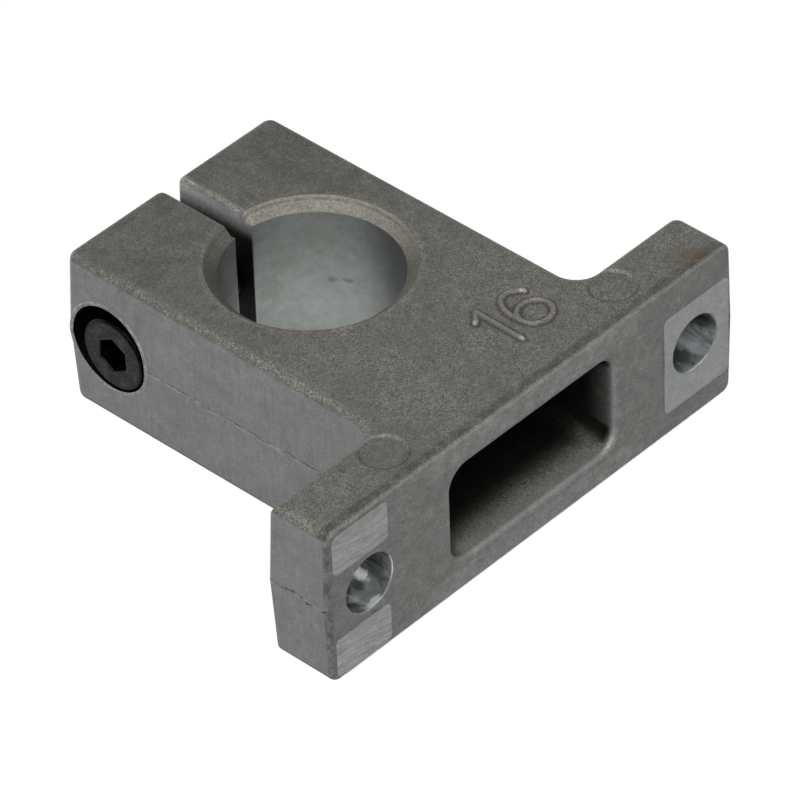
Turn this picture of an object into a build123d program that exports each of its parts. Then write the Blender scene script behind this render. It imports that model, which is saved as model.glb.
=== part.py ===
from build123d import *
import math
import os

# Shaft support block for a 16 mm shaft, in millimetres.
# The mounting face lies in the XY plane with the origin at its centre, the shaft runs along Y,
# the foot along X, and the split clamp points up. The numbered face of the casting looks along -Y.

# Shaft and bore
shaft_diameter = 16.0
shaft_height = 25.0
bore_mouth_depth = 1.05
bore_mouth_angle = 45.0

# Outline of the casting, at the parting plane halfway along the shaft
block_depth = 16.0
ear_thickness = 4.75
foot_height = 6.5
shoulder_radius = 2.2
draft_angle = 2.0
casting_edge_radius = 1.0
corner_over_edge = 0.05
foot_edge_radius = 0.5

# Mounting holes and the milled pads round them, which stand a little proud of the cast underside
hole_spacing = 40.0
hole_end_distance = 5.0
hole_diameter = 5.5
hole_chamfer = 0.1
pad_step = 0.1
pad_corner_radius = 0.6
pad_end_distance = 0.7
end_pad_reach = 3.9
end_pad_width = 10.2
end_pad_shift = 0.35
side_pad_length = 6.5
side_pad_gap = 6.9

# Cored pocket in the foot
pocket_length = 20.2
pocket_width = 10.0
pocket_depth = 12.0
pocket_draft = 1.5
pocket_corner_radius = 2.0
pocket_floor_chamfer = 1.0
pocket_rim_radius = 0.6

# Clamping slot
slot_width = 2.0
slot_edge_radius = 0.6

# Clamp screw, a socket head cap screw M4 x 16
screw_diameter = 4.0
screw_length = 16.0
screw_head_diameter = 7.0
screw_head_height = 4.0
screw_head_chamfer = 0.25
screw_socket_width = 3.0
screw_socket_depth = 2.0
screw_tip_chamfer = 0.5

# Seat of the clamp screw: the counterbore is cast, and its hole is drilled a little off centre
counterbore_diameter = 8.5
counterbore_rise = 0.25
screw_over_bore = 3.65
crown_over_screw = 5.35
screw_offset = 0.6
screw_head_recess = 0.2
clearance_hole_diameter = 4.5
thread_clearance = 0.05
thread_run_out = 2.0

# Marks of the ejector pins on the numbered face
ejector_mark_diameter = 4.2
ejector_mark_depth = 0.2
ejector_mark_slope = 45.0
ejector_mark_spacing = 28.0
ejector_mark_height = 3.85

# Places worked out from the sizes above
milling_allowance = 2.0
half_depth = block_depth / 2
bore_top = shaft_height + shaft_diameter / 2
screw_height = bore_top + screw_over_bore
block_height = screw_height + crown_over_screw
body_width = shaft_diameter + 2 * ear_thickness
corner_radius = casting_edge_radius + corner_over_edge
foot_length = hole_spacing + 2 * hole_end_distance
slot_height = block_height + milling_allowance - shaft_height
end_pad_length = foot_length / 2 - pad_end_distance - hole_spacing / 2 + end_pad_reach
end_pad_x = foot_length / 2 - pad_end_distance - end_pad_length / 2
side_pad_width = half_depth - foot_edge_radius - side_pad_gap / 2
side_pad_x = -foot_length / 2 + pad_end_distance + side_pad_length / 2
screw_face_x = -body_width / 2 + screw_head_recess
screw_seat_x = screw_face_x + screw_head_height
screw_tip_x = screw_seat_x + screw_length
screw_socket_corners = screw_socket_width / math.cos(math.radians(30))

os.makedirs("parts", exist_ok=True)


def spans_depth(edge):
    """True for an edge that runs from the parting plane to the face of the casting."""
    return abs(edge.end_point().Y - edge.start_point().Y) > half_depth / 2


def on_foot_top(edge):
    """True for an edge along the upper side of the foot."""
    return foot_height / 2 < edge.center().Z < shaft_height / 2


# Die-cast block: foot, body and both clamp ears in one casting
with BuildPart() as support_block:
    # One half of the blank tapers from the parting plane to its face
    with BuildSketch(Plane.XZ) as outline:
        with Locations((0, (foot_height - milling_allowance) / 2)):
            Rectangle(foot_length, foot_height + milling_allowance)
        with Locations((0, block_height / 2)):
            Rectangle(body_width, block_height)
    extrude(amount=half_depth, taper=draft_angle)

    # Its concave shoulders and outer corners, except the foot's corner at the screw's side, which is crisp
    shoulders = support_block.edges().filter_by(
        lambda edge: spans_depth(edge) and on_foot_top(edge) and abs(edge.center().X) < hole_spacing / 2
    )
    fillet(shoulders, radius=shoulder_radius)
    far_end_corner = support_block.edges().filter_by(
        lambda edge: spans_depth(edge) and on_foot_top(edge) and edge.center().X > hole_spacing / 2
    )
    ear_corners = support_block.edges().filter_by(
        lambda edge: spans_depth(edge) and edge.center().Z > bore_top
    )
    fillet(far_end_corner + ear_corners, radius=corner_radius)

    # Soft edges round its face
    face_edges = support_block.faces().sort_by(Axis.Y)[0].edges()
    fillet(face_edges, radius=casting_edge_radius)

    # The other half mirrors it across the parting plane
    mirror(about=Plane.XZ)

    # The underside of the foot is flat
    split(bisect_by=Plane.XY.offset(pad_step), keep=Keep.TOP)
    underside = support_block.faces().filter_by(Plane.XY).sort_by(Axis.Z)[0]
    fillet(underside.edges(), radius=foot_edge_radius)

    # Conical mouths of the bore
    for side in (-1, 1):
        with BuildSketch(Plane.XZ.offset(-side * half_depth)) as bore_mouth:
            with Locations((0, shaft_height)):
                Circle(shaft_diameter / 2 + bore_mouth_depth * math.tan(math.radians(bore_mouth_angle)))
        extrude(amount=side * bore_mouth_depth, taper=bore_mouth_angle, mode=Mode.SUBTRACT)

    # Slot that parts the two clamp ears, cast with soft edges
    with BuildSketch(Plane.XZ) as slot:
        with Locations((0, shaft_height + slot_height / 2)):
            Rectangle(slot_width, slot_height)
    extrude(amount=half_depth, both=True, mode=Mode.SUBTRACT)
    slot_walls = support_block.faces().filter_by(Axis.X).filter_by(
        lambda face: abs(abs(face.center().X) - slot_width / 2) < slot_width / 100
    )
    slot_edges = slot_walls.edges().filter_by(lambda edge: edge.center().Z > bore_top)
    fillet(slot_edges, radius=slot_edge_radius)

    # Bore for the shaft
    with BuildSketch(Plane.XZ) as bore:
        with Locations((0, shaft_height)):
            Circle(shaft_diameter / 2)
    extrude(amount=half_depth, both=True, mode=Mode.SUBTRACT)

    # Cored pocket that keeps the foot and the lower body thin walled
    with BuildSketch(Plane.XY) as pocket_mouth:
        RectangleRounded(pocket_length, pocket_width, pocket_corner_radius)
    extrude(amount=pocket_depth, taper=pocket_draft, mode=Mode.SUBTRACT)
    pocket_floor = support_block.faces().filter_by(Plane.XY).filter_by_position(
        Axis.Z, pocket_depth - pad_step, pocket_depth + pad_step
    )
    chamfer(pocket_floor.edges(), length=pocket_floor_chamfer)
    underside = support_block.faces().filter_by(Plane.XY).sort_by(Axis.Z)[0]
    fillet(underside.inner_wires()[0].edges(), radius=pocket_rim_radius)

    # Milled pads: one across the right end, one on each side of the left hole
    with BuildSketch(Plane.XY) as pads:
        with Locations((end_pad_x, end_pad_shift)):
            RectangleRounded(end_pad_length, end_pad_width, pad_corner_radius)
        with Locations((side_pad_x, 0)):
            with GridLocations(0, side_pad_gap + side_pad_width, 1, 2):
                RectangleRounded(side_pad_length, side_pad_width, pad_corner_radius)
    extrude(amount=pad_step + foot_edge_radius)

    # Mounting holes through both ends of the foot
    with BuildSketch(Plane.XY) as mounting_holes:
        with GridLocations(hole_spacing, 0, 2, 1):
            Circle(hole_diameter / 2)
    extrude(amount=foot_height, mode=Mode.SUBTRACT)
    hole_mouths = support_block.edges().filter_by(GeomType.CIRCLE).filter_by(
        lambda edge: abs(edge.radius - hole_diameter / 2) < pad_step and edge.center().Z < foot_height / 2
    )
    chamfer(hole_mouths, length=hole_chamfer)

    # Seat of the clamp screw in the near ear, and its thread in the far ear
    with BuildSketch(Plane.YZ.offset(screw_seat_x)) as counterbore:
        with Locations((0, screw_height + counterbore_rise)):
            Circle(counterbore_diameter / 2)
    extrude(amount=-body_width, mode=Mode.SUBTRACT)
    with BuildSketch(Plane.YZ.offset(screw_seat_x)) as clearance_hole:
        with Locations((screw_offset, screw_height)):
            Circle(clearance_hole_diameter / 2)
    extrude(amount=-screw_seat_x, mode=Mode.SUBTRACT)
    with BuildSketch(Plane.YZ) as tapped_hole:
        with Locations((screw_offset, screw_height)):
            Circle(screw_diameter / 2 + thread_clearance)
    extrude(amount=screw_tip_x + thread_run_out, mode=Mode.SUBTRACT)

    # Shallow round marks left by the ejector pins
    with BuildSketch(Plane.XZ.offset(half_depth)) as ejector_marks:
        with Locations((0, ejector_mark_height)):
            with GridLocations(ejector_mark_spacing, 0, 2, 1):
                Circle(ejector_mark_diameter / 2)
    extrude(amount=-ejector_mark_depth, taper=ejector_mark_slope, mode=Mode.SUBTRACT)

# Clamp screw, its head seated on the floor of the counterbore
with BuildPart() as clamp_screw:
    with BuildSketch(Plane.YZ.offset(screw_seat_x)) as head:
        with Locations((screw_offset, screw_height)):
            Circle(screw_head_diameter / 2)
    extrude(amount=-screw_head_height)
    head_face = clamp_screw.faces().sort_by(Axis.X)[0]
    chamfer(head_face.edges(), length=screw_head_chamfer)
    with BuildSketch(Plane.YZ.offset(screw_seat_x)) as shank:
        with Locations((screw_offset, screw_height)):
            Circle(screw_diameter / 2)
    extrude(amount=screw_length)
    shank_tip = clamp_screw.faces().sort_by(Axis.X)[-1]
    chamfer(shank_tip.edges(), length=screw_tip_chamfer)
    with BuildSketch(Plane.YZ.offset(screw_face_x)) as socket:
        with Locations((screw_offset, screw_height)):
            RegularPolygon(screw_socket_corners / 2, 6)
    extrude(amount=screw_socket_depth, mode=Mode.SUBTRACT)

support_block.part.label = "support_block"
clamp_screw.part.label = "clamp_screw"
export_step(support_block.part, "parts/support_block.step")
export_step(clamp_screw.part, "parts/clamp_screw.step")
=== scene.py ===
"""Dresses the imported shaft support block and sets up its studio.

The casting keeps its CAD mesh and gets cast, milled and drilled finishes by zone. New pieces are the
raised number on its face, the flash along its parting line, the lip round the screw seat and the clamp
screw with knurl, socket and thread. All lengths in the classes are millimetres in the CAD frame.
"""

import logging
import math
from dataclasses import dataclass
from enum import Enum
from typing import Callable, Sequence, Union

import bpy
import numpy as np
from mathutils import Matrix, Vector


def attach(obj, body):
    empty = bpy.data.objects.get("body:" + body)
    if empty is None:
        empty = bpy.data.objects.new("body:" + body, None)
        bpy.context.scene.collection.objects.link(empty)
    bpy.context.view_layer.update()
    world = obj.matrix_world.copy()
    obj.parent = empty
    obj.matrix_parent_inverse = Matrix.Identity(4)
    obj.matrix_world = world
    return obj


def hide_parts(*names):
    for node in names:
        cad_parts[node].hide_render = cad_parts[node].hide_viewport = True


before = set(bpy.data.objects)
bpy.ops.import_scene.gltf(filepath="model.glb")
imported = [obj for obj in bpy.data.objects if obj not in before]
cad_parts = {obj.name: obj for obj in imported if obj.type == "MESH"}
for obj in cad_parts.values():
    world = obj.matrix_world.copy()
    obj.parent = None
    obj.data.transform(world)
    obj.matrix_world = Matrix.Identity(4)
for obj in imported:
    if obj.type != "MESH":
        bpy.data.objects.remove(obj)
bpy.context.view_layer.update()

LOG = logging.getLogger("support_block")
MM = 0.001
TO_MM = (1000.0, 1000.0, 1000.0)
SAND_GRAIN = 0.135
SAND_DEPTH = 0.040
DULL_LEVEL = 0.2
RELIEF = 0.30
PICTURE_PIXELS = 800.0
SENSOR_WIDTH = 36.0

Socket = bpy.types.NodeSocket
Feed = Union[Socket, float, Sequence[float]]


def tone(red: float, green: float, blue: float) -> tuple[float, float, float, float]:
    """Turns a display colour into the linear colour that a shader takes.

    Each channel c from 0 to 255 becomes ((c / 255 + 0.055) / 1.055) to the power 2.4, or
    c / 255 / 12.92 where it is very dark.

    Args:
        red: red as displayed, 0 to 255.
        green: green as displayed, 0 to 255.
        blue: blue as displayed, 0 to 255.

    Returns:
        The linear red, green and blue, and an alpha of 1.
    """
    linear = []
    for channel in (red, green, blue):
        share = channel / 255.0
        linear.append(share / 12.92 if share <= 0.04045 else ((share + 0.055) / 1.055) ** 2.4)
    return (linear[0], linear[1], linear[2], 1.0)


GREEN = tone(112, 120, 104)
STAIN = tone(84, 87, 78)
SHADE = tone(40, 42, 45)
GLEAM = tone(246, 247, 247)


class Graph:
    """Adds nodes to one node tree and links them. A socket, a number or a tuple may feed an input."""

    def __init__(self, tree: bpy.types.NodeTree) -> None:
        """Starts on a tree, which may already hold nodes."""
        self.tree = tree

    def add(self, kind: str, **settings: object) -> bpy.types.Node:
        """Adds a node.

        Args:
            kind: the node's type name.
            settings: properties to set on it.

        Returns:
            The new node.
        """
        node = self.tree.nodes.new(kind)
        for name, value in settings.items():
            setattr(node, name, value)
        return node

    def feed(self, socket: Socket, value: Feed) -> None:
        """Links a socket into an input, or writes a constant there."""
        if isinstance(value, Socket):
            self.tree.links.new(value, socket)
        else:
            socket.default_value = value

    def node(self, kind: str, *values: Feed, **settings: object) -> Socket:
        """Adds a node and feeds its inputs in order.

        Args:
            kind: the node's type name.
            values: its inputs.
            settings: properties to set on it.

        Returns:
            Its first output.
        """
        node = self.add(kind, **settings)
        for socket, value in zip(node.inputs, values):
            self.feed(socket, value)
        return node.outputs[0]

    def shader(self, kind: str, **values: Feed) -> Socket:
        """Adds a node, feeds its inputs by name and returns its first output."""
        node = self.add(kind)
        for name, value in values.items():
            self.feed(node.inputs[name], value)
        return node.outputs[0]

    def math(self, operation: str, *values: Feed, clamp: bool = False) -> Socket:
        """Adds a Math node. With clamp, its result stays between 0 and 1."""
        return self.node("ShaderNodeMath", *values, operation=operation, use_clamp=clamp)

    def plus(self, first: Feed, second: Feed) -> Socket:
        """Sum of two values."""
        return self.math("ADD", first, second)

    def minus(self, first: Feed, second: Feed) -> Socket:
        """The first value less the second."""
        return self.math("SUBTRACT", first, second)

    def times(self, first: Feed, *others: Feed) -> Socket:
        """Product of all values. Of masks, it is 1 where every mask is 1."""
        for other in others:
            first = self.math("MULTIPLY", first, other)
        return first

    def most(self, first: Feed, *others: Feed) -> Socket:
        """The largest of all values."""
        for other in others:
            first = self.math("MAXIMUM", first, other)
        return first

    def vector(self, operation: str, first: Feed, second: Feed) -> Socket:
        """Adds a Vector Math node and returns its vector."""
        return self.node("ShaderNodeVectorMath", first, second, operation=operation)

    def length(self, value: Socket) -> Socket:
        """Length of a vector."""
        node = self.add("ShaderNodeVectorMath", operation="LENGTH")
        self.feed(node.inputs[0], value)
        return node.outputs["Value"]

    def split(self, value: Feed) -> tuple[Socket, Socket, Socket]:
        """Returns the X, Y and Z of a vector."""
        node = self.add("ShaderNodeSeparateXYZ")
        self.feed(node.inputs[0], value)
        return node.outputs[0], node.outputs[1], node.outputs[2]

    def ramp(self, value: Feed, low: float, high: float) -> Socket:
        """Smooth step: 0 where the value is at low, 1 where it is at high, either way round."""
        node = self.add("ShaderNodeMapRange", interpolation_type="SMOOTHSTEP")
        ends = (low, high, 0.0, 1.0) if low <= high else (high, low, 1.0, 0.0)
        self.feed(node.inputs["Value"], value)
        for name, end in zip(("From Min", "From Max", "To Min", "To Max"), ends):
            node.inputs[name].default_value = end
        return node.outputs["Result"]

    def blend(self, factor: Feed, first: Feed, second: Feed) -> Socket:
        """Mixes two colours: the first at factor 0, the second at 1."""
        node = self.add("ShaderNodeMix", data_type="RGBA")
        self.feed(node.inputs["Factor"], factor)
        self.feed(node.inputs[6], first)
        self.feed(node.inputs[7], second)
        return node.outputs[2]

    def between(self, factor: Feed, first: Feed, second: Feed) -> Socket:
        """Mixes two numbers: the first at factor 0, the second at 1."""
        node = self.add("ShaderNodeMix", data_type="FLOAT")
        self.feed(node.inputs["Factor"], factor)
        self.feed(node.inputs[2], first)
        self.feed(node.inputs[3], second)
        return node.outputs[0]

    def scaled(self, colour: Feed, factor: Feed) -> Socket:
        """Multiplies a colour by a number. A colour given as a tuple loses its alpha."""
        node = self.add("ShaderNodeVectorMath", operation="SCALE")
        self.feed(node.inputs[0], colour if isinstance(colour, Socket) else colour[:3])
        self.feed(node.inputs["Scale"], factor)
        return node.outputs[0]

    def noise(
        self, place: Feed, scale: Feed, detail: float = 2.0, roughness: float = 0.5, swirl: float = 0.0
    ) -> Socket:
        """Adds a noise texture.

        Args:
            place: the point to read, in millimetres.
            scale: features per millimetre.
            detail: octaves added to the first.
            roughness: share of each finer octave.
            swirl: how far the pattern is drawn into swirls.

        Returns:
            A value round 0.5.
        """
        node = self.add("ShaderNodeTexNoise")
        self.feed(node.inputs["Vector"], place)
        self.feed(node.inputs["Scale"], scale)
        for name, value in zip(("Detail", "Roughness", "Distortion"), (detail, roughness, swirl)):
            node.inputs[name].default_value = value
        return node.outputs["Fac"]

    def cells(self, place: Feed, scale: Feed) -> tuple[Socket, Socket]:
        """Adds a cell texture and returns the distance to the cell's point and its random colour."""
        node = self.add("ShaderNodeTexVoronoi")
        self.feed(node.inputs["Vector"], place)
        self.feed(node.inputs["Scale"], scale)
        return node.outputs["Distance"], node.outputs["Color"]

    def radius(self, first: Feed, second: Feed) -> Socket:
        """Length of the hypotenuse over two values."""
        return self.math("SQRT", self.plus(self.times(first, first), self.times(second, second)))

    def near(self, value: Feed, centre: float, reach: float) -> Socket:
        """1 where a value lies within reach of a centre, falling to 0 over a fifth of the reach."""
        gap = self.math("ABSOLUTE", self.minus(value, centre))
        return self.ramp(gap, reach, reach * 0.8)

    def spot(self, place: Feed, centre: Sequence[float], size: Sequence[float], ragged: float) -> Socket:
        """Mask of an oval spot whose edge a noise breaks up.

        Args:
            place: the point in millimetres.
            centre: middle of the spot.
            size: its half axes.
            ragged: how far the noise moves the edge, as a share of the half axes.

        Returns:
            1 in the middle of the spot, 0 outside it.
        """
        reach = self.length(self.vector("DIVIDE", self.vector("SUBTRACT", place, centre), size))
        swing = self.minus(self.noise(place, 1.6, detail=3.0, roughness=0.65), 0.5)
        return self.ramp(self.math("MULTIPLY_ADD", swing, ragged * 2.0, reach), 1.2, 0.5)

    def tinted(self, colour: Feed, *tints: tuple[Feed, float, Feed]) -> Socket:
        """Scales a colour by a row of tints, each a mask and the factors where it is 0 and 1."""
        for mask, low, high in tints:
            colour = self.scaled(colour, self.between(mask, low, high))
        return colour

    def layered(self, value: Feed, *layers: tuple[Feed, Feed]) -> Socket:
        """Lays a row of numbers over a first one, each where its mask is 1."""
        for mask, laid in layers:
            value = self.between(mask, value, laid)
        return value


class Effect:
    """A node group that puts out masks and values, built once and placed in many materials."""

    def __init__(
        self, name: str, wire: Callable[[Graph, dict[str, Socket]], dict[str, Socket]], **starts: float
    ) -> None:
        """Builds the group. Its first input is always Place, the point in millimetres.

        Args:
            name: the group's name.
            wire: adds the nodes, from the inputs by name to the outputs by name.
            starts: the other inputs, with their start values.
        """
        self.tree = bpy.data.node_groups.new(name, "ShaderNodeTree")
        self.socket("Place", "INPUT", "NodeSocketVector")
        for entry, start in starts.items():
            self.socket(entry, "INPUT").default_value = start
        g = Graph(self.tree)
        given = {socket.name: socket for socket in g.add("NodeGroupInput").outputs if socket.name}
        made = wire(g, given)
        for output in made:
            self.socket(output, "OUTPUT")
        sink = g.add("NodeGroupOutput")
        for output, value in made.items():
            g.feed(sink.inputs[output], value)

    def socket(self, name: str, in_out: str, kind: str = "NodeSocketFloat") -> bpy.types.bpy_struct:
        """Adds an input or output to the group's interface."""
        return self.tree.interface.new_socket(name, in_out=in_out, socket_type=kind)

    def place(self, g: Graph, place: Socket, **values: Feed) -> dict[str, Socket]:
        """Puts the effect into a material.

        Args:
            g: the material's graph.
            place: the point in millimetres.
            values: the other inputs by name.

        Returns:
            The outputs by name.
        """
        node = g.add("ShaderNodeGroup", node_tree=self.tree)
        g.feed(node.inputs["Place"], place)
        for name, value in values.items():
            g.feed(node.inputs[name], value)
        return {socket.name: socket for socket in node.outputs}


def spread(g: Graph, value: Feed, gain: float) -> Socket:
    """Draws a noise out from its mean of 0.5 by a gain, kept between 0 and 1."""
    return g.math("MULTIPLY_ADD", g.minus(value, 0.5), gain, 0.5, clamp=True)


def wire_sand(g: Graph, given: dict[str, Socket]) -> dict[str, Socket]:
    """Blasted mould texture: fine grains over a coarser noise.

    The two noises are added, 0.8 of the fine and 0.2 of the coarse, and drawn out from their mean,
    which gives Tone. Height is Tone times the depth, and Spark is 1 on the highest grains, which the
    casting and the screw lighten as painted glints.
    """
    grain = g.math("DIVIDE", 1.0, given["Grain"])
    fine = g.noise(given["Place"], grain, detail=1.0)
    coarse = g.noise(given["Place"], g.times(grain, 0.3), detail=1.0)
    value = spread(g, g.plus(g.times(fine, 0.8), g.times(coarse, 0.2)), 2.9)
    return {"Tone": value, "Height": g.times(value, given["Depth"]), "Spark": g.ramp(value, 0.72, 1.0)}


def wire_skin(g: Graph, given: dict[str, Socket]) -> dict[str, Socket]:
    """Smooth cast skin: wide clouds, patches, a fine mottle, drag marks along Y and thin scratches.

    A scratch lies where a wide swirled noise passes its mean, so that it is a thin wandering line.
    """
    place = given["Place"]
    wander = g.noise(place, 0.38, detail=3.0, roughness=0.55, swirl=1.2)
    drawn = g.vector("MULTIPLY", place, (1.0, 0.10, 1.0))
    skin = {
        "Clouds": spread(g, g.noise(place, 0.22, detail=2.0, roughness=0.55), 1.6),
        "Patches": spread(g, g.noise(place, 0.9, detail=4.0, roughness=0.65), 2.0),
        "Fine": spread(g, g.noise(place, 4.2, detail=2.0, roughness=0.6), 2.0),
        "Drag": spread(g, g.noise(drawn, 2.4, detail=2.0, roughness=0.7), 2.0),
        "Lines": g.ramp(g.math("ABSOLUTE", g.minus(wander, 0.5)), 0.010, 0.003),
    }
    skin["Height"] = g.plus(g.times(skin["Patches"], 0.022), g.times(skin["Fine"], 0.006))
    return skin


def wire_brushing(g: Graph, given: dict[str, Socket]) -> dict[str, Socket]:
    """Marks of a tool: noise drawn out nearly along X, turned a little towards Y, at two widths."""
    x, y, z = g.split(given["Place"])
    across = g.math("MULTIPLY_ADD", x, -0.45, g.times(y, 2.4))
    drawn = g.node("ShaderNodeCombineXYZ", g.times(x, 0.28), across, g.times(z, 2.4))
    wide = g.noise(drawn, 0.55, detail=2.0, roughness=0.7)
    thin = g.noise(drawn, 2.0, detail=1.0, roughness=0.6)
    value = spread(g, g.plus(g.times(wide, 0.5), g.times(thin, 0.5)), 2.8)
    return {"Tone": value, "Height": g.times(value, given["Depth"])}


def wire_nicks(g: Graph, given: dict[str, Socket]) -> dict[str, Socket]:
    """Small pits and scuffs: the middles of a few cells, with an outline that noise breaks up."""
    shift = g.times(g.noise(given["Place"], 3.0, detail=2.0), 0.5)
    distance, random = g.cells(given["Place"], given["Rate"])
    chosen = g.ramp(g.split(random)[1], 0.90, 0.92)
    return {"Mask": g.times(chosen, g.ramp(g.plus(distance, shift), 0.42, 0.32))}


@dataclass(frozen=True)
class Effects:
    """The shared effects of all finishes."""

    sand: Effect
    skin: Effect
    brushing: Effect
    nicks: Effect

    @classmethod
    def build(cls) -> "Effects":
        """Builds each node group once."""
        return cls(
            sand=Effect("sand_texture", wire_sand, Grain=0.2, Depth=0.03),
            skin=Effect("cast_skin", wire_skin),
            brushing=Effect("tool_marks", wire_brushing, Depth=0.01),
            nicks=Effect("nicks", wire_nicks, Rate=0.5),
        )


@dataclass(frozen=True)
class Dab:
    """An oval spot of colour: its middle, half axes, tone, share of that tone and ragged edge."""

    centre: tuple
    size: tuple
    tint: tuple
    share: float
    ragged: float = 1.0

    def over(self, g: Graph, place: Socket, colour: Feed) -> Socket:
        """Lays the spot over a colour."""
        mask = g.times(g.spot(place, self.centre, self.size, self.ragged), self.share)
        return g.blend(mask, colour, self.tint)


class Finish:
    """Base of the finishes: a material with one Principled shader, reading Object coordinates."""

    def start(self, name: str) -> tuple[bpy.types.Material, Graph, Socket, Socket]:
        """Makes an empty material.

        Args:
            name: the material's name.

        Returns:
            The material, its graph, the point in millimetres and the object normal.
        """
        material = bpy.data.materials.new(name)
        material.use_nodes = True
        material.node_tree.nodes.clear()
        g = Graph(material.node_tree)
        source = g.add("ShaderNodeTexCoord")
        place = g.vector("MULTIPLY", source.outputs["Object"], TO_MM)
        return material, g, place, source.outputs["Normal"]

    def end(self, g: Graph, height: Feed, values: dict[str, Feed]) -> None:
        """Adds the shader.

        Args:
            g: the material's graph.
            height: relief in millimetres, which turns the shader's normal.
            values: the shader's inputs by name.
        """
        bump = g.shader("ShaderNodeBump", Strength=1.0, Distance=MM, Height=height)
        shader = g.shader("ShaderNodeBsdfPrincipled", Normal=bump, **values)
        g.feed(g.add("ShaderNodeOutputMaterial").inputs["Surface"], shader)


@dataclass(frozen=True)
class BlockSizes:
    """Sizes of the casting, the same as in the CAD source."""

    half_length: float = 25.0
    half_depth: float = 8.0
    height: float = 42.0
    half_body: float = 12.75
    foot_height: float = 6.5
    crisp_corner: float = 0.05
    corner: float = 1.05
    shoulder: float = 2.2
    draft: float = 2.0
    half_slot: float = 1.0
    slot_edge: float = 0.6
    shaft_height: float = 25.0
    bore_radius: float = 8.0
    mouth_depth: float = 1.05
    hole_offset: float = 20.0
    hole_radius: float = 2.75
    screw_height: float = 36.65
    screw_offset: float = 0.6
    seat_height: float = 36.9
    seat_radius: float = 4.25
    seat_floor: float = -8.55
    pocket_half_length: float = 10.1
    pocket_half_width: float = 5.0
    pocket_depth: float = 12.0

    @property
    def bore_top(self) -> float:
        """Height of the bore's highest line."""
        return self.shaft_height + self.bore_radius

    @property
    def side_slope(self) -> float:
        """Rise of a drafted side for each millimetre away from the parting plane."""
        return math.tan(math.radians(self.draft))


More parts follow.
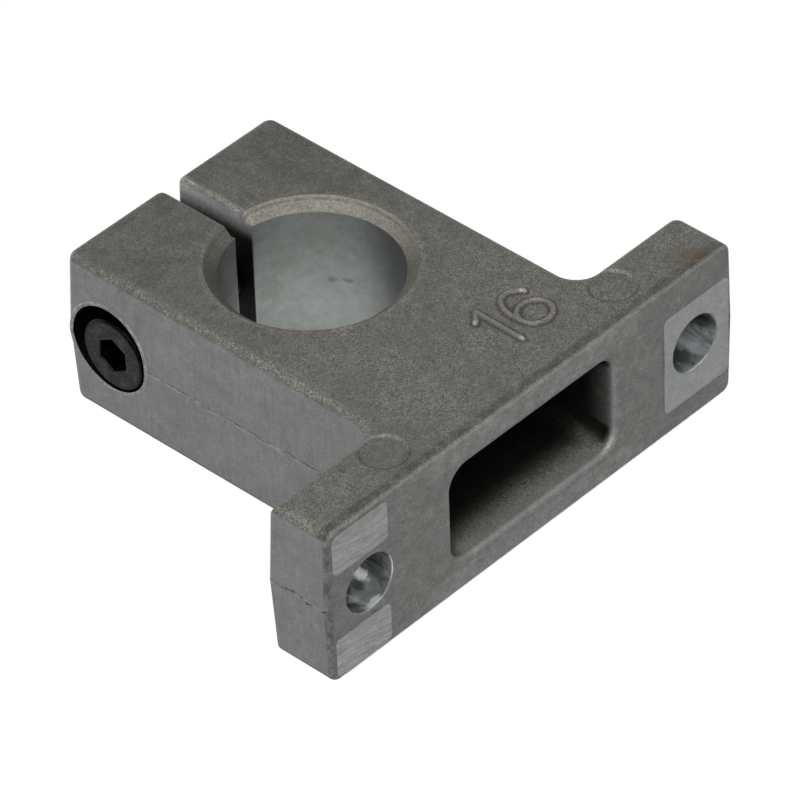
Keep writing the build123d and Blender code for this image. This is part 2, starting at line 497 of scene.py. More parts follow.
@dataclass(frozen=True)
class Zones:
    """Masks of the casting's zones, each 1 inside its zone and 0 elsewhere."""

    sandy: Socket
    rounding: Socket
    grimy: Socket
    foot_line: Socket
    corner: Socket
    cone: Socket
    ledge: Socket
    rim: Socket
    pocket: Socket
    under: Socket
    border: Socket
    pad: Socket
    bore: Socket
    hole: Socket
    seat: Socket
    slot: Socket
    slot_lip: Socket
    side: Socket

    @classmethod
    def build(cls, g: Graph, s: BlockSizes, place: Socket, normal: Socket) -> "Zones":
        """Works the masks out from the point and the normal.

        Args:
            g: the material's graph.
            s: sizes of the casting.
            place: the point in millimetres.
            normal: the object normal.

        Returns:
            The masks.
        """
        x, y, z = g.split(place)
        nx, ny, nz = g.split(normal)
        size_x, size_y, facing = (g.math("ABSOLUTE", value) for value in (x, y, ny))
        depth = s.half_depth
        from_axis = g.radius(x, g.minus(z, s.shaft_height))
        from_hole = g.radius(g.minus(size_x, s.hole_offset), y)
        from_seat = g.radius(y, g.minus(z, s.seat_height))
        cone_edge, cone_end = s.bore_radius + s.mouth_depth, depth - s.mouth_depth
        in_mouth = g.ramp(size_y, cone_end - 0.05, cone_end + 0.05)
        on_face = g.times(g.ramp(facing, 0.14, 0.42), g.ramp(size_y, depth - 1.4, depth - 1.0))
        pocket = g.times(
            g.ramp(size_x, s.pocket_half_length + 0.1, s.pocket_half_length - 0.1),
            g.ramp(size_y, s.pocket_half_width + 0.1, s.pocket_half_width - 0.1),
            g.ramp(z, s.pocket_depth + 0.3, s.pocket_depth + 0.1),
            g.ramp(z, 0.35, 0.8),
        )
        under = g.times(g.ramp(z, 0.75, 0.35), g.ramp(nz, -0.5, -0.9))
        return cls(
            sandy=g.most(on_face, pocket),
            rounding=g.times(on_face, g.ramp(facing, 0.97, 0.85), g.ramp(nz, -0.30, -0.10)),
            grimy=g.times(on_face, g.ramp(z, 1.40, 1.00), g.ramp(z, 0.30, 0.55)),
            foot_line=g.times(g.near(z, 0.30, 0.13), g.ramp(size_y, depth - 0.7, depth - 0.5)),
            corner=g.times(g.ramp(size_x, s.half_length - 0.75, s.half_length - 0.35), g.ramp(z, 0.75, 0.40)),
            cone=g.times(g.ramp(from_axis, cone_edge + 0.10, cone_edge), in_mouth),
            ledge=g.times(g.near(from_axis, s.bore_radius + 0.76 * s.mouth_depth, 0.09), in_mouth),
            rim=g.times(on_face, g.near(from_axis, cone_edge + 0.30, 0.22)),
            pocket=pocket,
            under=under,
            border=g.times(
                under,
                g.ramp(size_x, s.pocket_half_length + 3.6, s.pocket_half_length + 2.2),
                g.ramp(size_y, s.pocket_half_width + 0.4, s.pocket_half_width + 0.9),
            ),
            pad=g.times(g.ramp(z, 0.06, 0.03), g.ramp(nz, -0.8, -0.95)),
            bore=g.times(
                g.near(from_axis, s.bore_radius, 0.08),
                g.ramp(size_y, cone_end + 0.05, cone_end - 0.05),
            ),
            hole=g.times(
                g.ramp(from_hole, s.hole_radius + 0.05, s.hole_radius + 0.02),
                g.ramp(z, s.foot_height + 0.3, s.foot_height + 0.1),
            ),
            seat=g.times(
                g.ramp(from_seat, s.seat_radius + 0.12, s.seat_radius + 0.02),
                g.ramp(x, s.seat_floor + 0.2, s.seat_floor),
                g.ramp(nx, -0.6, -0.2),
            ),
            slot=g.times(
                g.ramp(size_x, s.half_slot + 0.25, s.half_slot + 0.05),
                g.ramp(z, s.bore_top - 1.0, s.bore_top - 0.6),
                g.ramp(size_y, depth - 1.0, depth - 3.0),
            ),
            slot_lip=g.times(
                g.ramp(size_x, s.half_slot + s.slot_edge + 0.1, s.half_slot + s.slot_edge - 0.3),
                g.ramp(z, s.bore_top + 1.0, s.bore_top + 1.8),
                g.ramp(size_y, depth - 1.6, depth - 0.8),
            ),
            side=g.times(
                g.ramp(facing, 0.30, 0.10),
                g.most(
                    g.ramp(size_x, s.half_body - 0.6, s.half_body - 0.4),
                    g.ramp(z, s.height - 0.7, s.height - 0.5),
                ),
            ),
        )


@dataclass(frozen=True)
class CastingFinish(Finish):
    """Finish of the whole casting by zone: sand-textured faces, smooth sides, milled and drilled places."""

    effects: Effects
    sizes: BlockSizes = BlockSizes()
    sand_tone: tuple = tone(94, 93, 88)
    spark_tone: tuple = tone(176, 173, 163)
    side_tone: tuple = tone(121, 122, 121)
    under_tone: tuple = tone(110, 111, 108)
    pad_tone: tuple = tone(139, 141, 139)
    cone_tone: tuple = tone(122, 120, 111)
    bore_tone: tuple = tone(145, 149, 146)
    hole_tone: tuple = tone(142, 146, 146)
    dark_tone: tuple = tone(50, 50, 48)
    marks: tuple = ((-14.0, 3.85), (14.0, 3.85))
    mark_radius: float = 2.12
    rust: Dab = Dab((21.0, -8.0, 1.5), (1.9, 1.2, 1.1), tone(84, 70, 44), 0.5, 0.9)
    bore_dabs: tuple = (
        Dab((3.51, -2.44, 32.19), (1.5, 1.5, 1.2), GREEN, 0.35, 1.3),
        Dab((6.10, -4.40, 30.17), (2.4, 1.2, 2.0), GREEN, 0.35, 1.3),
        Dab((2.56, 0.60, 32.58), (1.2, 1.4, 0.9), GREEN, 0.35, 1.3),
        Dab((6.71, 0.31, 29.35), (0.50, 0.36, 0.50), STAIN, 0.55, 0.9),
        Dab((7.37, 0.25, 28.11), (0.40, 0.30, 0.55), STAIN, 0.55, 0.9),
    )
    hole_dabs: tuple = (
        Dab((-18.85, 2.50, 2.75), (0.65, 0.50, 0.80), SHADE, 0.75),
        Dab((-17.38, 0.80, 1.95), (0.90, 1.10, 1.20), SHADE, 0.55),
        Dab((-19.74, 2.73, 3.25), (0.60, 0.40, 0.60), SHADE, 0.70),
        Dab((-21.18, 2.48, 1.48), (0.90, 0.60, 0.45), SHADE, 0.60),
        Dab((22.70, -0.10, 1.90), (0.80, 1.20, 1.80), SHADE, 0.65),
        Dab((20.30, 2.72, 2.00), (1.10, 0.70, 1.80), SHADE, 0.70),
        Dab((-18.05, 1.95, 3.25), (0.55, 0.60, 1.10), GLEAM, 0.60),
        Dab((-19.34, 2.67, 0.35), (1.20, 0.60, 0.50), GLEAM, 0.45),
        Dab((-20.15, 2.75, 1.96), (0.80, 0.40, 0.50), GLEAM, 0.25),
        Dab((-17.35, -0.40, 0.10), (0.60, 2.20, 0.32), GLEAM, 0.65),
        Dab((20.40, 2.70, 0.12), (1.90, 0.50, 0.22), GLEAM, 0.45),
    )

    def mark_rings(self, g: Graph, place: Socket) -> tuple[Socket, Socket]:
        """Ejector mark rims: painted shade in the lower left half, a painted highlight in the upper right.

        Args:
            g: the material's graph.
            place: the point in millimetres.

        Returns:
            Masks of the painted shade and of the painted highlight.
        """
        x, y, z = g.split(place)
        front = g.ramp(y, 1.0 - self.sizes.half_depth, 0.8 - self.sizes.half_depth)
        painted_shade: Feed = 0.0
        lightened: Feed = 0.0
        for centre_x, centre_z in self.marks:
            from_x, from_z = g.minus(x, centre_x), g.minus(z, centre_z)
            ring = g.times(front, g.near(g.radius(from_x, from_z), self.mark_radius, 0.17))
            slant = g.plus(from_x, from_z)
            painted_shade = g.most(painted_shade, g.times(ring, g.ramp(slant, 0.6, -0.8)))
            lightened = g.most(lightened, g.times(ring, g.ramp(slant, 1.2, 2.6)))
        return painted_shade, lightened

    def seam(self, g: Graph, place: Socket, zones: Zones) -> tuple[Socket, Socket]:
        """Parting line: a thin broken line round the sides, waving more on the ends of the foot.

        Args:
            g: the material's graph.
            place: the point in millimetres.
            zones: masks of the casting.

        Returns:
            Masks of the dark line and of the painted highlight on the lip beside it.
        """
        x, y, _ = g.split(place)
        at_end = g.ramp(g.math("ABSOLUTE", x), self.sizes.half_length - 1.2, self.sizes.half_length - 0.6)
        swing = g.minus(g.noise(place, 1.3, detail=4.0, roughness=0.6), 0.5)
        line = g.plus(y, g.times(swing, g.between(at_end, 0.35, 1.5)))
        broken = g.ramp(g.noise(place, 0.55, detail=2.0), 0.36, 0.48)
        dark = g.times(g.near(line, 0.0, 0.12), zones.side, broken)
        light = g.times(g.near(line, 0.17, 0.10), zones.side, g.ramp(g.noise(place, 0.9), 0.40, 0.56))
        return dark, light

    def drilled(self, g: Graph, place: Socket) -> tuple[Socket, Socket]:
        """Drilled hole wall: swirled bands of painted reflection along it, changing round it, and fine rings.

        Args:
            g: the material's graph.
            place: the point in millimetres.

        Returns:
            The share of light in the bands and the height in millimetres.
        """
        _, _, z = g.split(place)
        along = g.vector("MULTIPLY", place, (1.0, 1.0, 0.34))
        bands = spread(g, g.noise(along, 0.75, detail=2.0, roughness=0.6, swirl=0.9), 3.0)
        rings = g.math("SINE", g.times(z, 16.0))
        return bands, g.plus(g.times(rings, 0.0015), g.times(bands, 0.06))

    def build(self) -> bpy.types.Material:
        """Builds the material.

        Returns:
            The casting's material.
        """
        material, g, place, normal = self.start("cast_aluminium")
        zones = Zones.build(g, self.sizes, place, normal)
        x, y, z = g.split(place)
        sand = self.effects.sand.place(g, place, Grain=SAND_GRAIN, Depth=SAND_DEPTH)
        skin = self.effects.skin.place(g, place)
        marks = self.effects.brushing.place(g, place, Depth=0.012)
        nicks = self.effects.nicks.place(g, place, Rate=0.45)["Mask"]
        dark_seam, seam_highlight = self.seam(g, place, zones)
        bands, drilled_height = self.drilled(g, place)
        painted_shade, lightened = self.mark_rings(g, place)

        to_ears = g.ramp(z, 14.0, 38.0)
        strength = g.times(g.between(skin["Clouds"], 0.60, 1.30), g.between(to_ears, 1.0, 0.70))
        smooth = g.ramp(g.noise(place, 0.17, detail=4.0, roughness=0.65, swirl=0.8), 0.47, 0.60)
        sand_colour = g.tinted(
            g.scaled(self.sand_tone, g.plus(g.times(g.minus(sand["Tone"], 0.5), strength), 1.0)),
            # Painted shade: the face darkens towards the ears, and smooth darker patches gather there.
            (to_ears, 1.02, 0.88),
            (g.times(smooth, to_ears), 1.05, 0.80),
            (skin["Clouds"], 0.95, 1.05),
            # Painted highlight on the rounded edges of the face.
            (zones.rounding, 1.0, 1.14),
            # Darker along the bottom of the face, from 0.3 to 1.4 mm up.
            (zones.grimy, 1.0, g.between(skin["Patches"], 0.46, 0.90)),
            # Painted highlight on the rim of the bore's mouth.
            (zones.rim, 1.0, 1.15),
            # Painted shade and painted highlight on the rims of the ejector marks.
            (painted_shade, 1.0, 0.60),
            (lightened, 1.0, 1.45),
        )
        # Painted light on the bore mouth's cone: lighter towards +X and +Z, painted shade on its -X half.
        lit_side = g.ramp(g.plus(x, g.minus(z, self.sizes.shaft_height)), -2.0, 9.0)
        cone_colour = g.tinted(
            self.cone_tone,
            (sand["Tone"], 0.76, 1.24),
            (lit_side, 0.50, 1.04),
            (g.ramp(x, 0.5, -0.5), 1.0, 0.60),
            (skin["Fine"], 0.82, 1.18),
            (skin["Lines"], 1.0, 0.80),
            (g.times(zones.ledge, lit_side, g.ramp(skin["Patches"], 0.20, 0.45)), 1.0, 0.72),
        )
        sand_colour = g.blend(zones.cone, sand_colour, cone_colour)
        # Lighter grains: painted glints, strongest on the rounded edges, which are also scuffed.
        wear_and_glint = g.times(sand["Spark"], g.between(zones.rounding, 0.06, 0.40), g.minus(1.0, zones.cone))
        sand_colour = g.blend(wear_and_glint, sand_colour, self.spark_tone)
        # Painted shade: the pocket is darker, and near black far inside and on its far wall.
        far_wall = g.times(g.ramp(x, 8.6, 9.8), g.ramp(z, 0.45, 1.2))
        deep_shade = g.times(zones.pocket, g.most(g.ramp(z, 0.7, 5.0), far_wall))
        sand_colour = g.tinted(sand_colour, (zones.pocket, 1.0, 0.82), (deep_shade, 1.0, 0.12))

        side_colour = g.tinted(
            self.side_tone, (skin["Fine"], 0.84, 1.16), (skin["Drag"], 0.91, 1.09), (skin["Lines"], 1.0, 1.12)
        )
        side_colour = g.blend(g.times(nicks, 0.35), side_colour, self.dark_tone)
        # Painted highlight on the lip beside the parting line.
        side_colour = g.blend(g.times(seam_highlight, 0.30), side_colour, self.spark_tone)
        side_colour = g.blend(g.times(dark_seam, 0.80), side_colour, self.dark_tone)
        under_colour = g.tinted(
            self.under_tone,
            (skin["Fine"], 0.76, 1.24),
            (skin["Patches"], 0.90, 1.10),
            (marks["Tone"], 0.94, 1.06),
            (skin["Lines"], 1.0, 1.22),
            (zones.border, 1.0, 1.22),
        )
        under_colour = g.blend(g.times(nicks, 0.45), under_colour, self.dark_tone)
        specks = g.ramp(g.noise(place, 1.0, detail=5.0, roughness=0.8), 0.44, 0.56)
        colour = g.tinted(
            g.blend(zones.under, g.blend(zones.sandy, side_colour, sand_colour), under_colour),
            (skin["Patches"], 0.84, 1.16),
            (skin["Clouds"], 0.90, 1.10),
            (zones.foot_line, 1.0, 1.22),
            (g.times(zones.corner, g.between(specks, 0.25, 1.0)), 1.0, 0.44),
            (zones.slot_lip, 1.0, 1.45),
            # Painted shade: the inside of the slot is near black.
            (zones.slot, 1.0, 0.06),
        )

        strokes = g.between(g.ramp(x, -5.0, 5.0), g.between(marks["Tone"], 0.74, 1.26), 1.0)
        pad_colour = g.tinted(
            g.scaled(self.pad_tone, strokes),
            (marks["Tone"], 0.93, 1.07),
            (skin["Fine"], 0.84, 1.16),
            (skin["Patches"], 0.84, 1.16),
            (skin["Lines"], 1.0, 0.85),
        )
        bore_colour = g.tinted(
            self.bore_tone,
            (skin["Patches"], 0.82, 1.18),
            (skin["Fine"], 0.95, 1.05),
            # Painted shade: darker towards the numbered face, towards the bore's low side and towards -X.
            (g.ramp(y, -7.0, 5.0), 0.60, 1.0),
            (g.ramp(z, 28.0, 22.0), 1.0, 0.46),
            (g.ramp(x, 0.5, -1.5), 1.0, 0.72),
        )
        for dab in self.bore_dabs:
            bore_colour = dab.over(g, place, bore_colour)
        # Painted reflections and painted shade on the holes' walls: the bands and the dabs.
        hole_colour = g.tinted(self.hole_tone, (bands, 0.30, 1.05))
        for dab in self.hole_dabs:
            hole_colour = dab.over(g, place, hole_colour)
        colour = g.blend(zones.pad, colour, pad_colour)
        colour = g.blend(zones.bore, colour, bore_colour)
        colour = g.blend(zones.hole, colour, hole_colour)
        # Painted shade: the seat's wall round the screw head is near black.
        colour = self.rust.over(g, place, g.tinted(colour, (zones.seat, 1.0, 0.05)))

        metal = g.layered(
            g.between(zones.sandy, 0.30, 0.10), (zones.pad, 0.55), (zones.bore, 0.35), (zones.hole, 0.5)
        )
        rough = g.layered(
            g.between(skin["Patches"], 0.46, 0.60),
            (zones.sandy, 0.66),
            (wear_and_glint, 0.42),
            (zones.pad, g.between(marks["Tone"], 0.32, 0.54)),
            (zones.bore, g.between(skin["Patches"], 0.32, 0.42)),
            (zones.hole, 0.28),
        )
        dents = g.plus(g.times(nicks, g.between(zones.sandy, -0.03, 0.0)), g.times(dark_seam, -0.05))
        height = g.layered(
            g.plus(g.between(zones.sandy, skin["Height"], sand["Height"]), dents),
            (zones.pad, marks["Height"]),
            (zones.bore, g.times(skin["Fine"], 0.003)),
            (zones.hole, drilled_height),
        )
        values = {
            "Base Color": colour,
            "Specular IOR Level": DULL_LEVEL,
            # Metallic 1 and a dark colour stop the seat, slot and inner pocket reflecting, as painted shade.
            "Metallic": g.most(metal, g.most(zones.seat, zones.slot, deep_shade)),
            "Roughness": rough,
        }
        self.end(g, height, values)
        return material


@dataclass(frozen=True)
class ReliefFinish(Finish):
    """Finish of small cast pieces on the block: the sand texture, coarser and shallower."""

    effects: Effects
    name: str
    base: tuple
    grain: float
    depth: float

    def build(self) -> bpy.types.Material:
        """Builds the material.

        Returns:
            The piece's material.
        """
        material, g, place, _ = self.start(self.name)
        sand = self.effects.sand.place(g, place, Grain=self.grain, Depth=self.depth)
        skin = self.effects.skin.place(g, place)
        colour = g.tinted(self.base, (sand["Tone"], 0.62, 1.38), (skin["Patches"], 0.86, 1.14))
        rough = g.between(sand["Spark"], 0.60, 0.45)
        self.end(g, sand["Height"], {"Base Color": colour, "Metallic": 0.30, "Roughness": rough})
        return material


@dataclass(frozen=True)
class NumberFinish(Finish):
    """Finish of the raised number: face sand, painted shade at its foot, a scuffed crest, painted highlights.
    """

    effects: Effects
    sizes: BlockSizes = BlockSizes()
    base: tuple = tone(96, 94, 89)
    crest_tone: tuple = tone(124, 122, 114)
    highlight_tone: tuple = tone(166, 164, 156)
    highlight_tips: tuple = ((2.80, 9.04), (3.86, 4.80), (8.52, 8.86))
    tip_size: tuple = (0.42, 0.80, 0.42)

    def build(self) -> bpy.types.Material:
        """Builds the material. Its zones follow the height over the face, which is -Y less the half depth.

        Returns:
            The number's material.
        """
        material, g, place, _ = self.start("cast_number")
        face = -self.sizes.half_depth
        lift = g.minus(g.times(g.split(place)[1], -1.0), self.sizes.half_depth)
        sand = self.effects.sand.place(g, place, Grain=SAND_GRAIN, Depth=SAND_DEPTH)
        skin = self.effects.skin.place(g, place)
        # Painted shade round the foot of the strokes, on the low skirt.
        painted_shade = g.times(g.ramp(lift, 0.0, 0.05), g.ramp(lift, RELIEF * 0.70, RELIEF * 0.25))
        crest = g.ramp(lift, RELIEF * 0.62, RELIEF * 0.98)
        raised = g.ramp(lift, RELIEF * 0.35, RELIEF * 0.75)
        strength = g.between(skin["Clouds"], 0.60, 1.30)
        colour = g.tinted(
            g.scaled(self.base, g.plus(g.times(g.minus(sand["Tone"], 0.5), strength), 1.0)),
            (skin["Patches"], 0.84, 1.16),
            (skin["Clouds"], 0.90, 1.10),
            (painted_shade, 1.0, 0.48),
        )
        colour = g.blend(g.times(crest, g.between(sand["Tone"], 0.10, 0.80)), colour, self.crest_tone)
        # Painted highlights near three ends of the strokes.
        for tip_x, tip_z in self.highlight_tips:
            tip = g.spot(place, (tip_x, face, tip_z), self.tip_size, 0.6)
            colour = g.blend(g.times(tip, raised, g.between(sand["Tone"], 0.10, 0.90)), colour, self.highlight_tone)
        values = {
            "Base Color": colour,
            "Specular IOR Level": DULL_LEVEL,
            "Metallic": 0.10,
            "Roughness": g.between(crest, 0.66, 0.48),
        }
        self.end(g, sand["Height"], values)
        return material


@dataclass(frozen=True)
class OxideFinish(Finish):
    """Black oxide clamp screw, scuffed lighter in places, with painted shade in its socket and on the head's
    edge.
    """

    effects: Effects
    sizes: BlockSizes = BlockSizes()
    base: tuple = tone(16, 16, 16)
    wear_and_glint: tuple = tone(80, 80, 78)
    socket_radius: float = 1.78
    face: float = -12.5

    def build(self) -> bpy.types.Material:
        """Builds the material.

        Returns:
            The screw's material.
        """
        material, g, place, _ = self.start("black_oxide")
        x, y, z = g.split(place)
        s = self.sizes
        off_axis = g.radius(g.minus(y, s.screw_offset), g.minus(z, s.screw_height))
        inside = g.times(
            g.ramp(off_axis, self.socket_radius, self.socket_radius - 0.1),
            g.ramp(x, self.face, self.face + 0.15),
            g.ramp(x, s.seat_floor, s.seat_floor - 0.5),
        )
        edge = g.ramp(off_axis, 3.04, 3.22)
        skin = self.effects.skin.place(g, place)
        sand = self.effects.sand.place(g, place, Grain=0.14, Depth=0.008)
        nicks = self.effects.nicks.place(g, place, Rate=1.6)["Mask"]
        haze = g.ramp(g.noise(place, 1.1, detail=4.0, roughness=0.75), 0.49, 0.61)
        # Lighter scuffs and nicks, with some painted glints on the highest grains.
        lightened = g.most(g.times(nicks, 0.5), g.times(sand["Spark"], 0.2), g.times(haze, 0.28))
        colour = g.tinted(self.base, (sand["Tone"], 0.6, 1.4), (skin["Patches"], 0.60, 1.40))
        colour = g.blend(lightened, colour, self.wear_and_glint)
        # Painted shade: near black in the socket, darker on the head's rounded edge, with Metallic 1 there.
        values = {
            "Base Color": g.tinted(colour, (inside, 1.0, 0.05), (edge, 1.0, 0.4)),
            "Specular IOR Level": DULL_LEVEL,
            "Metallic": g.between(g.most(inside, edge), 0.8, 1.0),
            "Roughness": g.between(inside, g.between(skin["Patches"], 0.34, 0.50), 0.8),
        }
        self.end(g, sand["Height"], values)
        return material


class Piece:
    """Base of the new pieces: closed meshes made from numpy grids, at the origin, in metres."""

    def mesh(
        self, name: str, points: np.ndarray, faces: Sequence[np.ndarray], finish: Finish
    ) -> bpy.types.Object:
        """Makes a smooth shaded object from arrays.

        Args:
            name: the object's name.
            points: corners in millimetres, one row each.
            faces: arrays of corner numbers, each array with faces of one size.
            finish: what its material is made by.

        Returns:
            The linked object.
        """
        data = bpy.data.meshes.new(name)
        counts = np.concatenate([np.full(len(part), part.shape[1]) for part in faces])
        corners = np.concatenate([part.ravel() for part in faces])
        starts = np.concatenate([[0], np.cumsum(counts)[:-1]])
        data.vertices.add(len(points))
        data.vertices.foreach_set("co", (points * MM).astype(np.float32).ravel())
        data.loops.add(len(corners))
        data.loops.foreach_set("vertex_index", corners.astype(np.int32))
        data.polygons.add(len(counts))
        data.polygons.foreach_set("loop_start", starts.astype(np.int32))
        data.polygons.foreach_set("use_smooth", np.ones(len(counts), dtype=bool))
        data.update(calc_edges=True)
        data.validate()
        data.materials.append(finish.build())
        piece = bpy.data.objects.new(name, data)
        bpy.context.scene.collection.objects.link(piece)
        LOG.info("%s: %d faces", name, len(data.polygons))
        return piece

    def tube(self, rings: np.ndarray, flip: bool) -> tuple[np.ndarray, list[np.ndarray]]:
        """Closes a grid of rings into a skin with a pole at each end.

        The first and last ring each hold one repeated point, the pole. Ring i and ring i + 1 are joined
        by four-cornered faces all round, and the rings beside a pole by triangles.

        Args:
            rings: points as ring, place round the ring, coordinate.
            flip: True to turn the faces round.

        Returns:
            The points and the faces.
        """
        count, around = rings.shape[0] - 2, rings.shape[1]
        points = np.concatenate([rings[1:-1].reshape(-1, 3), rings[0, :1], rings[-1, :1]])
        number = np.arange(count * around).reshape(count, around)
        beside = np.roll(number, -1, axis=1)
        quads = np.stack([number[:-1], beside[:-1], beside[1:], number[1:]], axis=-1).reshape(-1, 4)
        first = np.stack([beside[0], number[0], np.full(around, count * around)], axis=-1)
        last = np.stack([number[-1], beside[-1], np.full(around, count * around + 1)], axis=-1)
        return points, [part[:, ::-1] if flip else part for part in (quads, first, last)]


@dataclass
class RaisedNumber(Piece):
    """The number 16 in low relief on the numbered face, cut out of a height field over each digit."""

    effects: Effects
    sizes: BlockSizes = BlockSizes()
    half_ridge: float = 0.44
    skirt: float = 0.72
    skirt_lift: float = 0.05
    sunk: float = 0.012
    floor: float = 0.25
    pitch: float = 0.045

    def strokes(self) -> list[np.ndarray]:
        """Centre lines of the digits as points X, Z: flag and stem of the one, bowl and tail of the six."""
        one = np.array([(2.78, 9.02), (3.30, 9.42), (3.82, 9.98), (3.92, 9.90), (3.88, 7.2), (3.86, 4.78)])
        turn = np.linspace(0.0, 2.0 * math.pi, 61)
        bowl = np.stack([7.15 + 1.60 * np.cos(turn), 6.35 + 1.45 * np.sin(turn)], axis=-1)
        sweep = np.radians(np.linspace(38.0, 188.0, 41))
        tail = np.stack([7.22 + 1.72 * np.cos(sweep), 7.35 + 2.38 * np.sin(sweep)], axis=-1)
        six = np.concatenate([tail, [(5.53, 6.6), (5.55, 6.3)]])
        return [one, bowl, six]

    def distance(self, points: np.ndarray, line: np.ndarray) -> np.ndarray:
        """Distance of each point from a line of straight runs.

        For each run, the point's share along it is held between 0 and 1, and the distance is to the
        place at that share. The nearest run counts.

        Args:
            points: places as rows of X, Z.
            line: the line's corners.

        Returns:
            One distance for each point.
        """
        start, run = line[:-1], np.diff(line, axis=0)
        offset = points[:, None, :] - start[None]
        share = np.clip((offset * run).sum(-1) / (run * run).sum(-1), 0.0, 1.0)
        gap = offset - share[..., None] * run
        return np.sqrt((gap * gap).sum(-1)).min(1)

    def build(self) -> bpy.types.Object:
        """Builds both digits as one closed piece.

        The height over the face falls by a smooth step from the relief at a stroke's centre line to
        nothing at the ridge's half width. A second, low step runs out into a skirt round the ridge, which
        ends just under the face. Cells outside the skirt are left out, and a flat floor inside the
        casting and a wall round the rim close the shape.

        Returns:
            The finished piece.
        """
        across = np.arange(1.6, 9.9, self.pitch)
        upward = np.arange(3.6, 11.1, self.pitch)
        grid_x, grid_z = np.meshgrid(across, upward, indexing="ij")
        flat = np.stack([grid_x.ravel(), grid_z.ravel()], axis=-1)
        gap = np.min([self.distance(flat, line) for line in self.strokes()], axis=0).reshape(grid_x.shape)
        ridge = np.clip(1.0 - gap / self.half_ridge, 0.0, 1.0)
        foot = np.clip((self.skirt - gap) / (self.skirt - self.half_ridge * 0.8), 0.0, 1.0)
        height = RELIEF * ridge * ridge * (3.0 - 2.0 * ridge)
        height = height + self.skirt_lift * foot * foot * (3.0 - 2.0 * foot) - self.sunk
        face = -self.sizes.half_depth
        top = np.stack([grid_x, face - height, grid_z], axis=-1)
        low = np.stack([grid_x, np.full_like(grid_x, face + self.floor), grid_z], axis=-1)
        kept = gap < self.skirt
        cell = kept[:-1, :-1] & kept[1:, :-1] & kept[1:, 1:] & kept[:-1, 1:]
        number = np.arange(grid_x.size).reshape(grid_x.shape)
        quad = np.stack([number[:-1, :-1], number[1:, :-1], number[1:, 1:], number[:-1, 1:]], axis=-1)[cell]
        below = quad[:, ::-1] + grid_x.size
        edges = np.concatenate([quad[:, [i, (i + 1) % 4]] for i in range(4)])
        there, back = (edges[:, i] * grid_x.size + edges[:, 1 - i] for i in range(2))
        rim = edges[~np.isin(there, back)]
        wall = np.stack([rim[:, 1], rim[:, 0], rim[:, 0] + grid_x.size, rim[:, 1] + grid_x.size], axis=-1)
        faces = np.concatenate([quad, below, wall])
        used, faces = np.unique(faces, return_inverse=True)
        points = np.concatenate([top.reshape(-1, 3), low.reshape(-1, 3)])[used]
        piece = self.mesh("raised_number", points, [faces.reshape(-1, 4)], NumberFinish(self.effects))
        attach(piece, "block")
        return piece


